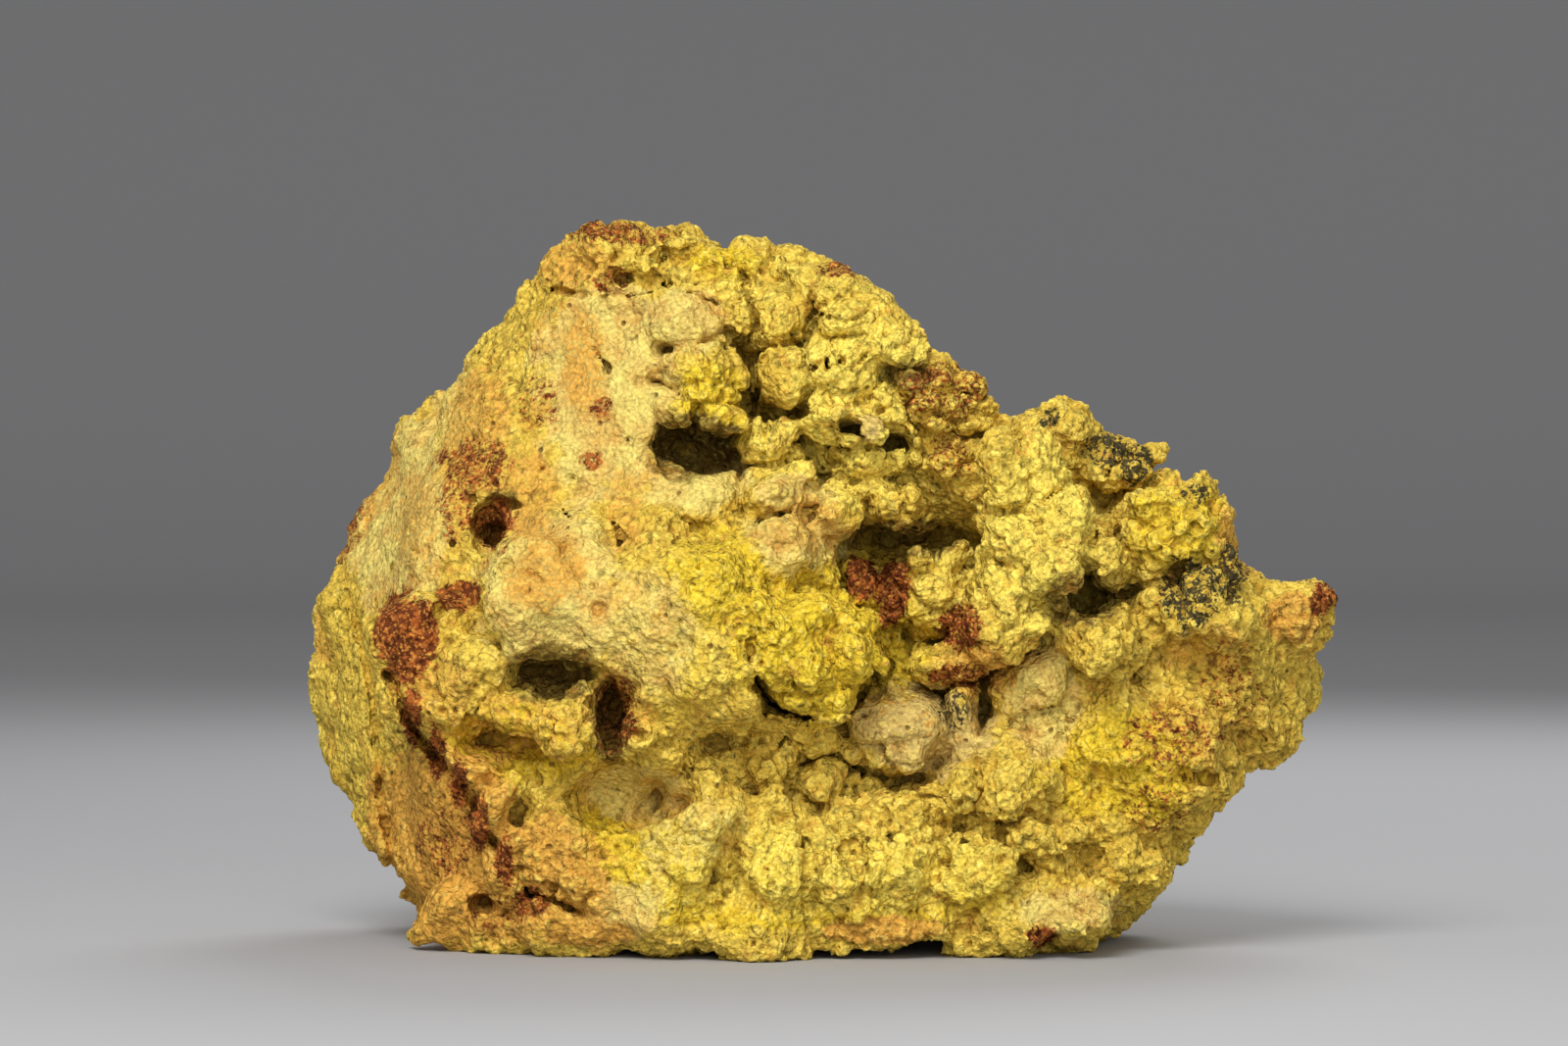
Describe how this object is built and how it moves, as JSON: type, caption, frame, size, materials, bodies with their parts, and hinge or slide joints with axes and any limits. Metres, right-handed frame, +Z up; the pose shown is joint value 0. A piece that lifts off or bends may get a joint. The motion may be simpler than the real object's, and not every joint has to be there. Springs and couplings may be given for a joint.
{
  "type": "zincocopiapite mineral specimen",
  "caption": "Loose rough lump of earthy yellow zincocopiapite with a crusted vug, rounded growths, pits and rust patches, resting on its worn bosses.",
  "frame": {"origin": "middle of the footprint's box, on the surface that the specimen stands on", "axes": "+X to the right along the long side, +Y away from the face with the vug, +Z up"},
  "size_m": [0.1102, 0.0715, 0.0759],
  "materials": {
    "zincocopiapite": "matt earthy yellow crust with ochre, tan, rust-red and grey-black patches"
  },
  "bodies": {
    "root": {"zincocopiapite_mass": "zincocopiapite"}
  },
  "joints": []
}
